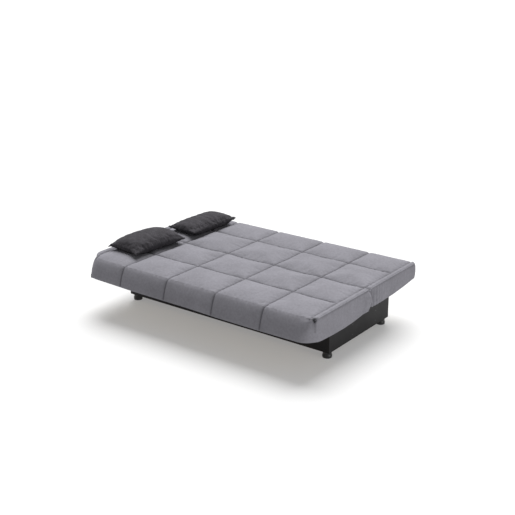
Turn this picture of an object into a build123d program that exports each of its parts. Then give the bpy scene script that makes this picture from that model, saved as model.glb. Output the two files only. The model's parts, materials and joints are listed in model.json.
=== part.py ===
from build123d import *
import math
import os

# Clic-clac sofa bed laid flat. Millimetres, +Z up, the floor is z = 0.
# -Y is the front (seat) side, +X the right end, the origin is below the middle of the bed.

# Driving dimensions
BED_LENGTH = 1900.0
BED_DEPTH = 1318.0
MATTRESS_TOP = 412.0
FOLD_Y = 31.0                 # plane where seat and back meet
AXIS_OFFSET = 90.0            # each pivot axis lies this far from the fold plane
AXIS_Z = 337.0                # height of both pivot axes
NOSE_R = 89.0                 # rounded inner end of each mattress half
SEAT_ANGLE = 45.0             # travel of the seat when it is lifted
BACK_ANGLE = 75.0             # travel of the back from flat to upright

SEAT_AXIS = (FOLD_Y - AXIS_OFFSET, AXIS_Z)
BACK_AXIS = (FOLD_Y + AXIS_OFFSET, AXIS_Z)
HALF_LENGTH = BED_LENGTH / 2
FRONT_Y = -BED_DEPTH / 2
REAR_Y = BED_DEPTH / 2

# Cover and foam
TOP_LAYER = 10.0              # quilted top
BORDER = 11.0                 # padded border strips
NOSE_WALL = 6.0
CORE_HALF_LENGTH = 893.0      # foam and nose wall end here, the hinges lie outside
CORNER_R = 90.0               # plan radius of the outer corners
FILLER_BOTTOM = 362.0
FILLER_GAP = 0.6

# Steel frames under the foam
RAIL = 25.0
RAIL_WALL = 1.5
RAIL_OUTER_X = 898.0
SEAT_RAIL_Z = 263.0
BACK_RAIL_Z = 288.0
SEAT_RAILS_Y = (-632.0, -75.0)
BACK_RAILS_Y = (137.0, 634.0)
SLAT_COUNT = 13
SLAT_WIDTH = 60.0
SLAT_THICK = 10.0
SLAT_SPAN = 1620.0            # between the middles of the outermost slats
HOLDER_WIDTH = 70.0

# Hinges at each end, layer by layer along X
ARM_X = (898.0, 904.0)
PLATE_X = (908.0, 914.0)
ARM_LEG = 31.0
PIN_R = 6.0
PIN_HEAD_R = 10.0
RUN_CLEAR = 0.05              # radial clearance of a running pivot
SECTOR_R = 45.0               # ratchet sector on the back's arm
PAWL_ANGLE = 200.0            # where the pawl's tip meets the sector, from +Y
PAWL_TRAVEL = 12.0
PAWL_PIVOT = (88.0, 289.5)
PAWL_PIN_R = 4.0
PAWL_TIP_R = 3.0
STOP_R = 8.0
BOLT_R = 4.0
BOLT_HEAD_R = 6.5

# Swing links that carry the bed forwards and rearwards over the chest
LINK_LENGTH = 170.0
LINK_LEAN = 36.0              # from vertical, forwards when the bed is flat
LINK_TOP_Z = 228.0
LINK_X = (822.0, 828.0)
LINK_WIDTH = 28.0
LUG_X = (810.0, 816.0)
SHAFT_R = 8.0
OPEN_CLEAR = 0.5              # radial clearance at the front upper pivot
LINK_TOPS_Y = (FOLD_Y - 100.0, FOLD_Y + 100.0)
TUBE_R = 15.0
TUBE_WALL = 2.0
TUBE_Z = 258.0

# Chest
CHEST_X = 856.0
CHEST_Y = (-292.0, 450.0)
CHEST_Z = (46.0, 230.0)
BOARD = 16.0
BOTTOM_BOARD = 12.0
BLOCK = 45.0
BLOCK_HEIGHT = 60.0
FOOT_R = 32.0
FOOT_INSET = 37.0
BRACKET_THICK = 6.0

# Loose cushions: length along the bed's depth, width, height; then (rise, outline) of each layer
CUSHION = (480.0, 295.0, 108.0)
CUSHION_LAYERS = ((0, 0.70), (0.12, 0.86), (0.38, 1.0), (0.65, 0.86), (0.88, 0.62), (1.0, 0.34))
FRONT_CUSHION_AT = (-746.0, -216.0)
REAR_CUSHION_AT = (-706.0, 356.0)
FRONT_CUSHION_TURN = -5.0
REAR_CUSHION_TURN = -2.0
CUSHION_GAP = 0.4


def box(x, y, z):
    """A box from three (low, high) pairs."""
    size = Box(x[1] - x[0], y[1] - y[0], z[1] - z[0])
    return Pos((x[0] + x[1]) / 2, (y[0] + y[1]) / 2, (z[0] + z[1]) / 2) * size


def plate(sketch, x):
    """A sketch drawn in (Y, Z), as a plate from x[0] to x[1]."""
    return extrude(Plane.YZ.offset(x[0]) * sketch, x[1] - x[0])


def disc(centre, radius):
    return Pos(centre[0], centre[1]) * Circle(radius)


def rod(centre, radius, x):
    """A round bar along X."""
    return plate(disc(centre, radius), x)


def hull(*discs):
    """The outline of a belt round several (centre, radius) discs."""
    edges = []
    for centre, radius in discs:
        edges += disc(centre, radius).edges()
    return make_hull(edges)


def left(shape):
    return mirror(shape, about=Plane.YZ)


def both(shape):
    return [shape, left(shape)]


def group(shapes):
    return Compound(children=[s for s in shapes])


def polar(centre, radius, degrees):
    turn = math.radians(degrees)
    return (centre[0] + radius * math.cos(turn), centre[1] + radius * math.sin(turn))


# ---------------------------------------------------------------- mattress

def seat_outline():
    """Side view of the seat half: sloping front, belly below, round nose at the fold."""
    nose_y = SEAT_AXIS[0] + math.sqrt(NOSE_R ** 2 - (MATTRESS_TOP - AXIS_Z) ** 2)
    foot = (SEAT_AXIS[0], AXIS_Z - NOSE_R)
    front = ThreePointArc((-603, MATTRESS_TOP), (-646, 352), (FRONT_Y, 266))
    hem = ThreePointArc((FRONT_Y, 266), (-656, 254), (-644, 250))
    belly = ThreePointArc((-644, 250), (-340, 236), foot)
    nose = ThreePointArc(foot, (SEAT_AXIS[0] + NOSE_R, AXIS_Z), (nose_y, MATTRESS_TOP))
    top = Line((nose_y, MATTRESS_TOP), (-603, MATTRESS_TOP))
    return make_face([front, hem, belly, nose, top])


def back_outline():
    """Side view of the back half: round nose at the fold, thinner rounded rear edge."""
    nose_y = BACK_AXIS[0] - math.sqrt(NOSE_R ** 2 - (MATTRESS_TOP - AXIS_Z) ** 2)
    low_y = BACK_AXIS[0] - math.sqrt(NOSE_R ** 2 - (AXIS_Z - 266) ** 2)
    nose = ThreePointArc((nose_y, MATTRESS_TOP), (BACK_AXIS[0] - NOSE_R, AXIS_Z), (low_y, 266))
    under = ThreePointArc((low_y, 266), (360, 268), (642, 287))
    hem = ThreePointArc((642, 287), (655, 292), (REAR_Y, 303))
    rear = ThreePointArc((REAR_Y, 303), (655, 382), (630, MATTRESS_TOP))
    top = Line((630, MATTRESS_TOP), (nose_y, MATTRESS_TOP))
    return make_face([nose, under, hem, rear, top])


def plan_block(length_x, y, corner, corner_side):
    """A tall block whose two corners at corner_side (-1 front, +1 rear) are rounded."""
    block = box((-length_x, length_x), y, (150, 500))
    edges = block.edges().filter_by(Axis.Z).sort_by(Axis.Y)
    return fillet(edges[:2] if corner_side < 0 else edges[-2:], corner)


def cover(outline, cavity, y, side, axis):
    """A quilted cover as an inverted tray over the frame; the hinges turn in its open inner corners."""
    body = plate(outline, (-HALF_LENGTH, HALF_LENGTH)) & plan_block(HALF_LENGTH, y, CORNER_R, side)
    inner_y = (y[0] + BORDER, y[1] + 200) if side < 0 else (y[0] - 200, y[1] - BORDER)
    inside = plan_block(HALF_LENGTH - BORDER, inner_y, CORNER_R - BORDER, side)
    hollow = plate(cavity, (-HALF_LENGTH, HALF_LENGTH)) & inside
    nose_y = (axis[0], axis[0] + 100) if side < 0 else (axis[0] - 100, axis[0])
    nose = box((-CORE_HALF_LENGTH, CORE_HALF_LENGTH), nose_y, (200, MATTRESS_TOP))
    hollow -= nose - rod(axis, NOSE_R - NOSE_WALL, (-HALF_LENGTH, HALF_LENGTH))
    return body - hollow


def seat_cavity():
    """The room inside the seat cover, open below and at the inner corners."""
    top = MATTRESS_TOP - TOP_LAYER
    front = ThreePointArc((-590, top), (-633, 350), (FRONT_Y + BORDER, 266))
    return make_face([front, Polyline((FRONT_Y + BORDER, 266), (FRONT_Y + BORDER, 150), (200, 150),
                                      (200, top), (-590, top))])


def back_cavity():
    top = MATTRESS_TOP - TOP_LAYER
    rear = ThreePointArc((REAR_Y - BORDER, 303), (644, 378), (622, top))
    return make_face([rear, Polyline((622, top), (-100, top), (-100, 150), (REAR_Y - BORDER, 150),
                                     (REAR_Y - BORDER, 303))])


def foam(y, low, axis, side, shaped_end):
    """A foam block on the slats, with a round nose at the fold and a shaped outer end."""
    x = (-CORE_HALF_LENGTH, CORE_HALF_LENGTH)
    top = MATTRESS_TOP - TOP_LAYER
    slab = box(x, y, (low, top)) & plate(shaped_end, x)
    nose = rod(axis, NOSE_R - NOSE_WALL, x) & box(x, (y[0] - 150, y[1] + 150), (low, top))
    return slab + nose


def seat_foam():
    end = make_face([ThreePointArc((-586, 402), (-622, 350), (-634, 290)),
                     Polyline((-634, 290), (0, 290), (0, 402), (-586, 402))])
    return foam((-640, SEAT_AXIS[0]), SEAT_RAIL_Z + RAIL + SLAT_THICK, SEAT_AXIS, -1, end)


def back_foam():
    end = make_face([ThreePointArc((634, 315), (632, 378), (616, 402)),
                     Polyline((616, 402), (60, 402), (60, 315), (634, 315))])
    return foam((BACK_AXIS[0], 640), BACK_RAIL_Z + RAIL + SLAT_THICK, BACK_AXIS, 1, end)


def fold_filler():
    """The padding that bridges the top of the fold, clear of both halves at every angle."""
    x = (-HALF_LENGTH + 5, HALF_LENGTH - 5)
    wedge = box(x, (FOLD_Y - 60, FOLD_Y + 60), (FILLER_BOTTOM, MATTRESS_TOP))
    for axis, turn in ((SEAT_AXIS, -SEAT_ANGLE), (BACK_AXIS, BACK_ANGLE)):
        wedge -= rod(axis, NOSE_R + FILLER_GAP, x)
        surface = MATTRESS_TOP - AXIS_Z + FILLER_GAP
        slab = Rectangle(600, 2 * surface)
        wedge -= plate(Pos(axis[0], axis[1]) * Rot(0, 0, turn) * slab, x)
    return wedge


def cushion(at, turn):
    """A loose cushion: crowned on top, flat where it lies, edges pulled in to a seam."""
    length, width, height = CUSHION
    low = MATTRESS_TOP + CUSHION_GAP
    sections = []
    for rise, scale in CUSHION_LAYERS:
        trim = (1 - scale) * width
        outline = RectangleRounded(width - trim, length - trim, 0.16 * (width - trim))
        sections.append(Pos(at[0], at[1], low + rise * height) * Rot(0, 0, turn) * outline)
    return loft(sections)


# ---------------------------------------------------------------- seat and back frames

def square_tube(x, y, z, along):
    """A square steel tube; along names the axis it runs on."""
    tube = box(x, y, z)
    w = RAIL_WALL
    if along == "x":
        return tube - box((x[0] - 1, x[1] + 1), (y[0] + w, y[1] - w), (z[0] + w, z[1] - w))
    return tube - box((x[0] + w, x[1] - w), (y[0] - 1, y[1] + 1), (z[0] + w, z[1] - w))


def half_frame(rails_y, end_y, low):
    """The four tubes of one half: front, rear, left and right."""
    z = (low, low + RAIL)
    inner_x = RAIL_OUTER_X - RAIL
    across = (-inner_x, inner_x)
    first = square_tube(across, (rails_y[0], rails_y[0] + RAIL), z, "x")
    second = square_tube(across, (rails_y[1] - RAIL, rails_y[1]), z, "x")
    right = square_tube((inner_x, RAIL_OUTER_X), end_y, z, "y")
    return first, second, left(right), right


def slat_places():
    step = SLAT_SPAN / (SLAT_COUNT - 1)
    return [-SLAT_SPAN / 2 + i * step for i in range(SLAT_COUNT)]


def slats(rails_y, low):
    """Beech slats running from rail to rail between their holders."""
    z = (low + RAIL, low + RAIL + SLAT_THICK)
    y = (rails_y[0] + RAIL, rails_y[1] - RAIL)
    return group(box((x - SLAT_WIDTH / 2, x + SLAT_WIDTH / 2), y, z) for x in slat_places())


def slat_holders(rails_y, low):
    """Plastic holders that sit on the rails at each end of every slat."""
    z = (low + RAIL, low + RAIL + SLAT_THICK)
    half = HOLDER_WIDTH / 2
    holders = []
    for x in slat_places():
        holders.append(box((x - half, x + half), (rails_y[0], rails_y[0] + RAIL), z))
        holders.append(box((x - half, x + half), (rails_y[1] - RAIL, rails_y[1]), z))
    return group(holders)


def arm_bolts(axis, side, low):
    """Two bolts and nuts that fasten each hinge arm to its side tube."""
    bolts = []
    for reach in (118, 162):
        at = (axis[0] + side * reach, low + RAIL / 2)
        bolt = rod(at, BOLT_R, (RAIL_OUTER_X - RAIL - 8, ARM_X[1]))
        bolt += rod(at, BOLT_HEAD_R, (ARM_X[1], ARM_X[1] + 3.5))
        bolt += rod(at, BOLT_HEAD_R, (RAIL_OUTER_X - RAIL - 6, RAIL_OUTER_X - RAIL))
        bolts += both(bolt)
    return group(bolts)


def hinge_arm(axis, side, low, sector_r):
    """The right-hand steel arm: an eye round the pivot and a leg along the side tube."""
    mid = low + RAIL / 2
    heel = (axis[0] + side * 55, mid)
    toe = (axis[0] + side * 175, mid)
    leg = hull((heel, ARM_LEG / 2), (toe, ARM_LEG / 2))
    eye = hull((axis, 24), (heel, ARM_LEG / 2))
    shape = leg + eye + disc(axis, sector_r)
    return plate(shape, ARM_X) - rod(axis, PIN_R + RUN_CLEAR, ARM_X)


# ---------------------------------------------------------------- ratchet

def pawl_outline(grow=0.0):
    tip = polar(BACK_AXIS, SECTOR_R + 1.5 + PAWL_TIP_R, PAWL_ANGLE)
    return hull((PAWL_PIVOT, 8 + grow), (tip, PAWL_TIP_R + grow))


def pawl():
    return plate(pawl_outline(), ARM_X) - rod(PAWL_PIVOT, PAWL_PIN_R + RUN_CLEAR, ARM_X)


def notches():
    """The two notches that the pawl drops into, with the back flat and with it upright."""
    notch = None
    for turn in range(0, int(PAWL_TRAVEL) + 2, 3):
        swung = Pos(*PAWL_PIVOT) * Rot(0, 0, -turn) * Pos(-PAWL_PIVOT[0], -PAWL_PIVOT[1])
        swept = plate(swung * pawl_outline(1.0), ARM_X)
        notch = swept if notch is None else notch + swept
    spin = Pos(0, *BACK_AXIS) * Rot(-BACK_ANGLE, 0, 0) * Pos(0, -BACK_AXIS[0], -BACK_AXIS[1])
    return notch, spin * notch


def back_arm():
    arm = hinge_arm(BACK_AXIS, 1, BACK_RAIL_Z, SECTOR_R)
    for notch in notches():
        arm -= notch
    return arm


# ---------------------------------------------------------------- carriage and links

def stop_places():
    """Centres of the stop pins that the level seat and back arms rest on."""
    drop = (ARM_LEG - RAIL) / 2 + STOP_R + 0.4
    return ((SEAT_AXIS[0] - 70, SEAT_RAIL_Z - drop), (BACK_AXIS[0] + 70, BACK_RAIL_Z - drop))


def hinge_plate():
    """The right-hand side plate, a V that carries both pivots, the pawl and the stops."""
    seat_stop, back_stop = stop_places()
    tube = ((FOLD_Y, TUBE_Z), 20)
    outline = hull((SEAT_AXIS, 20), (seat_stop, 12), tube) + hull((BACK_AXIS, 20), (back_stop, 12), tube)
    shape = plate(outline, PLATE_X)
    for axis in (SEAT_AXIS, BACK_AXIS):
        shape -= rod(axis, PIN_R, PLATE_X)
    shape -= rod(PAWL_PIVOT, PAWL_PIN_R, PLATE_X)
    shape -= rod((FOLD_Y, TUBE_Z), TUBE_R, PLATE_X)
    return shape


def hinge_pins():
    pins = []
    for axis in (SEAT_AXIS, BACK_AXIS):
        pin = rod(axis, PIN_R, (ARM_X[0] - 4, PLATE_X[1]))
        pins += both(pin + rod(axis, PIN_HEAD_R, (PLATE_X[1], PLATE_X[1] + 4)))
    return group(pins)


def hinge_bushes():
    """Nylon washers between the turning arms and the side plates."""
    gap = (ARM_X[1] + 0.2, PLATE_X[0])
    rings = []
    for axis in (SEAT_AXIS, BACK_AXIS):
        rings += both(rod(axis, 13, gap) - rod(axis, PIN_R, gap))
    return group(rings)


def pin_clips():
    """Clips on the inner ends of the pivot pins."""
    clip = (ARM_X[0] - 2.4, ARM_X[0] - 0.4)
    rings = []
    for axis in (SEAT_AXIS, BACK_AXIS):
        rings += both(rod(axis, 9, clip) - rod(axis, PIN_R, clip))
    return group(rings)


def stop_pins():
    pins = []
    for at in stop_places():
        pins += both(rod(at, STOP_R, (ARM_X[0], PLATE_X[0])))
    return group(pins)


def pawl_pins():
    pin = rod(PAWL_PIVOT, PAWL_PIN_R, (ARM_X[0] - 3, PLATE_X[1]))
    return group(both(pin + rod(PAWL_PIVOT, 7, (PLATE_X[1], PLATE_X[1] + 3))))


def pawl_springs():
    """The short torsion coil on each pawl's pin."""
    coil = (ARM_X[1] + 0.3, PLATE_X[0])
    return group(both(rod(PAWL_PIVOT, 7, coil) - rod(PAWL_PIVOT, PAWL_PIN_R, coil)))


def cross_tube():
    at = (FOLD_Y, TUBE_Z)
    x = (-PLATE_X[1] - 4, PLATE_X[1] + 4)
    return rod(at, TUBE_R, x) - rod(at, TUBE_R - TUBE_WALL, x)


def carriage_lug():
    """The right-hand lug under the cross tube, with the bores for both link shafts."""
    front, rear = [(y, LINK_TOP_Z) for y in LINK_TOPS_Y]
    shape = hull((front, 15), (rear, 15)) + hull(((FOLD_Y, TUBE_Z), 22), ((FOLD_Y, LINK_TOP_Z), 15))
    lug = plate(shape, LUG_X)
    lug -= rod(front, SHAFT_R + OPEN_CLEAR, LUG_X)
    lug -= rod(rear, SHAFT_R + RUN_CLEAR, LUG_X)
    return lug - rod((FOLD_Y, TUBE_Z), TUBE_R, LUG_X)


def link_foot(top_y):
    lean = math.radians(LINK_LEAN)
    return (top_y + LINK_LENGTH * math.sin(lean), LINK_TOP_Z - LINK_LENGTH * math.cos(lean))


def link(top_y):
    """A flat steel link that leans forwards from its foot pivot in the chest."""
    top = (top_y, LINK_TOP_Z)
    foot = link_foot(top_y)
    bar = plate(hull((top, LINK_WIDTH / 2), (foot, LINK_WIDTH / 2)), LINK_X)
    return bar - rod(top, SHAFT_R, LINK_X) - rod(foot, PIN_R + RUN_CLEAR, LINK_X)


def link_shaft(top_y):
    """The cross shaft welded into the tops of a pair of links."""
    return rod((top_y, LINK_TOP_Z), SHAFT_R, (-LINK_X[1] - 1, LINK_X[1] + 1))


# ---------------------------------------------------------------- chest

CHEST_INNER_X = CHEST_X - BOARD
CHEST_INNER_Y = (CHEST_Y[0] + BOARD, CHEST_Y[1] - BOARD)
BRACKET_X = (CHEST_INNER_X - BRACKET_THICK, CHEST_INNER_X)


def foot_places():
    x = CHEST_X - FOOT_INSET
    return [(sx * x, y) for y in (CHEST_Y[0] + FOOT_INSET, CHEST_Y[1] - FOOT_INSET) for sx in (-1, 1)]


def upright(at, radius, z):
    return Pos(at[0], at[1], z[0]) * extrude(Circle(radius), z[1] - z[0])


def chest_screws():
    """Countersunk screws from the corner blocks into the boards."""
    screws = []
    for z in (CHEST_Z[0] + 28, CHEST_Z[0] + 54):
        for sy, wall in ((-1, CHEST_INNER_Y[0]), (1, CHEST_INNER_Y[1])):
            at = (wall - sy * BLOCK * 0.7, z)
            start = CHEST_INNER_X - BLOCK
            screw = rod(at, 2.0, (start, CHEST_INNER_X + 12)) + rod(at, 4.0, (start, start + 3))
            screws += both(screw)
    return group(screws)


def foot_bolts():
    """Bolts that hold the feet, through the bottom board and up into the corner blocks."""
    bolts = []
    for at in foot_places():
        bolt = upright(at, BOLT_R, (20, CHEST_Z[0] + BOTTOM_BOARD + 30))
        bolts.append(bolt + upright(at, BOLT_HEAD_R, (14, 20)))
    return group(bolts)


def bracket_bolts():
    """Bolts through each end board and its bracket, nuts inside, thin heads outside."""
    bolts = []
    for y in bracket_span():
        for z in (78.0, 150.0):
            bolt = rod((y, z), 3.0, (BRACKET_X[0] - 5, CHEST_X))
            bolt += rod((y, z), BOLT_HEAD_R, (BRACKET_X[0] - 5, BRACKET_X[0]))
            bolts += both(bolt + rod((y, z), 4.5, (CHEST_X - 2, CHEST_X)))
    return group(bolts)


def bracket_span():
    """Y of the front and rear bolt columns of the bracket."""
    return (link_foot(LINK_TOPS_Y[0])[0] - 45, link_foot(LINK_TOPS_Y[1])[0] + 45)


def base_bracket():
    """The right-hand steel bracket inside the end board that carries the link feet."""
    span = bracket_span()
    x_mid = (BRACKET_X[0] + BRACKET_X[1]) / 2
    face = box(BRACKET_X, (span[0] - 20, span[1] + 20), (60, 168))
    lightening = box((x_mid - 4, x_mid + 4), (span[0] + 70, span[1] - 70), (118, 148))
    return face - lightening


def base_pins():
    """Pins that the link feet turn on, with a head inside each link."""
    pins = []
    for top_y in LINK_TOPS_Y:
        at = link_foot(top_y)
        pin = rod(at, PIN_R, (LINK_X[0] - 3, BRACKET_X[0]))
        pin += rod(at, 9, (LINK_X[0] - 3, LINK_X[0] - 0.4)) + rod(at, 9, (LINK_X[1] + 0.4, BRACKET_X[0]))
        pins += both(pin)
    return group(pins)


def corner_blocks():
    z = (CHEST_Z[0] + BOTTOM_BOARD, CHEST_Z[0] + BOTTOM_BOARD + BLOCK_HEIGHT)
    x = (CHEST_INNER_X - BLOCK, CHEST_INNER_X)
    blocks = []
    for y in ((CHEST_INNER_Y[0], CHEST_INNER_Y[0] + BLOCK), (CHEST_INNER_Y[1] - BLOCK, CHEST_INNER_Y[1])):
        blocks += both(box(x, y, z))
    return group(blocks)


def foot(at):
    """A round plastic foot, chamfered at the floor, with a socket for its bolt."""
    body = upright(at, FOOT_R, (0, CHEST_Z[0]))
    body = chamfer(body.edges().group_by(Axis.Z)[0], 2)
    return body - upright(at, BOLT_HEAD_R + 2, (0, 14))


def chest_parts():
    """The boards of the storage chest and everything fixed to them, by node name."""
    screws = chest_screws()
    bolts = foot_bolts()
    through = bracket_bolts()
    ends = box((CHEST_INNER_X, CHEST_X), CHEST_Y, CHEST_Z)
    across = (-CHEST_INNER_X, CHEST_INNER_X)
    front = box(across, (CHEST_Y[0], CHEST_INNER_Y[0]), CHEST_Z)
    rear = box(across, (CHEST_INNER_Y[1], CHEST_Y[1]), CHEST_Z)
    bottom = box(across, CHEST_INNER_Y, (CHEST_Z[0], CHEST_Z[0] + BOTTOM_BOARD))
    parts = {
        "chest_front_board": front,
        "chest_rear_board": rear,
        "chest_left_board": left(ends) - screws - through,
        "chest_right_board": ends - screws - through,
        "chest_bottom_board": bottom - bolts,
        "chest_corner_blocks": corner_blocks() - screws - bolts,
        "chest_screws": screws,
        "foot_bolts": bolts,
        "left_base_bracket": left(base_bracket()) - through,
        "right_base_bracket": base_bracket() - through,
        "base_bracket_bolts": through,
        "link_foot_pins": base_pins(),
    }
    names = ("front_left_foot", "front_right_foot", "rear_left_foot", "rear_right_foot")
    for name, at in zip(names, foot_places()):
        parts[name] = foot(at) - bolts
    return parts


def link_parts():
    parts = {}
    for name, top_y in (("front", LINK_TOPS_Y[0]), ("rear", LINK_TOPS_Y[1])):
        parts["right_" + name + "_link"] = link(top_y)
        parts["left_" + name + "_link"] = left(link(top_y))
        parts[name + "_link_shaft"] = link_shaft(top_y)
    return parts


def carriage_parts():
    return {
        "carriage_cross_tube": cross_tube(),
        "left_hinge_plate": left(hinge_plate()),
        "right_hinge_plate": hinge_plate(),
        "left_carriage_lug": left(carriage_lug()),
        "right_carriage_lug": carriage_lug(),
        "hinge_pins": hinge_pins(),
        "hinge_bushes": hinge_bushes(),
        "hinge_pin_clips": pin_clips(),
        "hinge_stops": stop_pins(),
        "pawl_pins": pawl_pins(),
        "pawl_springs": pawl_springs(),
        "left_pawl": left(pawl()),
        "right_pawl": pawl(),
        "mattress_fold": fold_filler(),
    }


def half_parts(name, rails_y, end_y, low, axis, side, arm):
    """Frame, slats, holders, arms and bolts of one half."""
    bolts = arm_bolts(axis, side, low)
    first, second, left_tube, right_tube = half_frame(rails_y, end_y, low)
    outer, inner = (first, second) if side < 0 else (second, first)
    return {
        name + "_outer_tube": outer,
        name + "_inner_tube": inner,
        name + "_left_tube": left_tube - bolts,
        name + "_right_tube": right_tube - bolts,
        name + "_slats": slats(rails_y, low),
        name + "_slat_holders": slat_holders(rails_y, low),
        "left_" + name + "_arm": left(arm) - bolts,
        "right_" + name + "_arm": arm - bolts,
        name + "_arm_bolts": bolts,
    }


def all_parts():
    parts = chest_parts()
    parts.update(link_parts())
    parts.update(carriage_parts())
    seat_arm = hinge_arm(SEAT_AXIS, -1, SEAT_RAIL_Z, 24)
    seat_end = (SEAT_RAILS_Y[0], SEAT_AXIS[0])
    back_end = (BACK_AXIS[0], BACK_RAILS_Y[1])
    parts.update(half_parts("seat", SEAT_RAILS_Y, seat_end, SEAT_RAIL_Z, SEAT_AXIS, -1, seat_arm))
    parts.update(half_parts("back", BACK_RAILS_Y, back_end, BACK_RAIL_Z, BACK_AXIS, 1, back_arm()))
    parts["seat_foam"] = seat_foam()
    parts["back_foam"] = back_foam()
    parts["seat_cover"] = cover(seat_outline(), seat_cavity(), (FRONT_Y, 200), -1, SEAT_AXIS)
    parts["back_cover"] = cover(back_outline(), back_cavity(), (-100, REAR_Y), 1, BACK_AXIS)
    parts["front_cushion"] = cushion(FRONT_CUSHION_AT, FRONT_CUSHION_TURN)
    parts["rear_cushion"] = cushion(REAR_CUSHION_AT, REAR_CUSHION_TURN)
    return parts


os.makedirs("parts", exist_ok=True)
for node, shape in all_parts().items():
    export_step(shape, "parts/" + node + ".step")
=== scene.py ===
# %% [markdown]
# # A click-clack sofa bed, laid flat
# The bed is two upholstered halves on a folding steel frame over a black storage chest. The CAD model
# holds every hard part, its size and its joints. This script dresses it: quilted cover, foam, loose
# cushions, turned feet, stitches and the finish of every material. We load the frame first and keep its
# box, because nothing that we add may change the size of the real thing.

# %% Load the frame
import json
import math

import bmesh
import bpy
import numpy as np
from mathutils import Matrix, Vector


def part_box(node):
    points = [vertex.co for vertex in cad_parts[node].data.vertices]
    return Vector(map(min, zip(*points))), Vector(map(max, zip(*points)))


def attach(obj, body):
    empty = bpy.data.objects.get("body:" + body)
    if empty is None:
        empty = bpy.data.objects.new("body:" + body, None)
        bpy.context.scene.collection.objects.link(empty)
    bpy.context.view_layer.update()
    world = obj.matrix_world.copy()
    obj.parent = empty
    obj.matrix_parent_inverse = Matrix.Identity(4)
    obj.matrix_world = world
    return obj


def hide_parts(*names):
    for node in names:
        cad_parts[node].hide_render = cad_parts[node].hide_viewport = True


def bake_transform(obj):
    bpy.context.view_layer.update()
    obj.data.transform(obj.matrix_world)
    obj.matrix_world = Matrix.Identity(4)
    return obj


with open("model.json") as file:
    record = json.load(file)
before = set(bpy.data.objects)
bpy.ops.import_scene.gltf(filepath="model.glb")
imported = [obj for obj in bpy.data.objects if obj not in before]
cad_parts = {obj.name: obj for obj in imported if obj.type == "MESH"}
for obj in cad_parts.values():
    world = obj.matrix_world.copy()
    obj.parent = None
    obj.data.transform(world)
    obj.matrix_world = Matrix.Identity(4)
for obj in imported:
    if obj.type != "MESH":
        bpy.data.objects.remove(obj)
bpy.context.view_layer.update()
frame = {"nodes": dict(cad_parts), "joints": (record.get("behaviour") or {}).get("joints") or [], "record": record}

# %% [markdown]
# ## Places read from the frame
# The cover follows the CAD trays, so its limits come from their boxes, and the fold is half way between
# the two pivot axes. Seam places are real sizes in metres, from the middle of the bed. The insets are how
# far the cloth's upper edge stays inside the tray, which leaves room for the skirt to bulge.

# %% Places
axes = {joint["name"]: joint for joint in frame["joints"]}
SEAT_AXIS_Y = axes["seat_lift"]["pos_m"][1]
BACK_AXIS_Y = axes["back_fold"]["pos_m"][1]
AXIS_Z = axes["seat_lift"]["pos_m"][2]
FOLD_Y = (SEAT_AXIS_Y + BACK_AXIS_Y) / 2
seat_low, seat_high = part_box("seat_cover")
back_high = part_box("back_cover")[1]
END_INSET = 0.006
FRONT_INSET = 0.062
REAR_INSET = 0.012
HALF_X = seat_high[0] - END_INSET
TOP_Z = seat_high[2]
CROSS_SEAMS = (-0.597, -0.207, 0.195, 0.577)
SEAT_SEAM_Y = -0.295
BACK_SEAM_Y = 0.369
FRONT_SEAM_Y = seat_low[1] + FRONT_INSET
REAR_EDGE_Y = back_high[1] - REAR_INSET
BLEND = 0.18
print("fold at y", round(FOLD_Y, 3), "front seam at", round(FRONT_SEAM_Y, 3), "top", round(TOP_Z, 3))

# %% [markdown]
# ## Colour and node helpers
# Colours are written as the sRGB hex that one would read off a swatch; Blender wants linear light, so one
# function converts. One small function adds a node, with its settings, its input values and its links,
# and where the node is a colour ramp it also sets the colours of its stops.

# %% Helpers


def colour(hex_code):
    """An sRGB hex code as linear RGBA."""
    parts = [int(hex_code[i:i + 2], 16) / 255 for i in (0, 2, 4)]
    linear = [c / 12.92 if c <= 0.04045 else ((c + 0.055) / 1.055) ** 2.4 for c in parts]
    return (*linear, 1.0)


def add(tree, kind, inputs=None, stops=(), **settings):
    """A node in the tree; inputs are values or output sockets to link from, stops are (position, hex)."""
    node = tree.nodes.new(kind)
    for name, value in settings.items():
        setattr(node, name, value)
    for name, value in (inputs or {}).items():
        if isinstance(value, bpy.types.NodeSocket):
            tree.links.new(value, node.inputs[name])
        else:
            node.inputs[name].default_value = value
    for index, (position, hex_code) in enumerate(stops):
        node.color_ramp.elements[index].position = position
        node.color_ramp.elements[index].color = colour(hex_code)
    return node


def new_material(name):
    """An empty material with its shader, its tree and object coordinates in metres."""
    material = bpy.data.materials.new(name)
    material.use_nodes = True
    tree = material.node_tree
    shader = tree.nodes["Principled BSDF"]
    where = add(tree, "ShaderNodeTexCoord").outputs["Object"]
    return material, tree, shader, where


print("helpers ready")

# %% [markdown]
# ## Quilted microfibre
# The cover is a brushed polyester microfibre, a suede-like cloth: very matt, with hardly any sheen and a
# faint mottle where the nap lies differently, in patches of 200 mm and tufts of 14 mm. Its plain weave
# has threads about 0.5 mm apart, too fine to see from across a room, so it is drawn at 1.6 mm. One wave
# texture along each axis makes the threads, so that they show on the top and on the skirt alike. Seams,
# pinched corners and pleats look dark because little light gets into them, and that shade is painted
# into the colour: a point attribute on each piece says how much painted shade each point gets, and the
# colour there is darker, by half where the value is 1. The cushions are a coarse charcoal chenille whose
# yarns are 4 mm thick, and the seams are sewn with polyester thread.

# %% Quilt cloth
THREAD = 0.0016
NAP_FINENESS = 14


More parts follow.
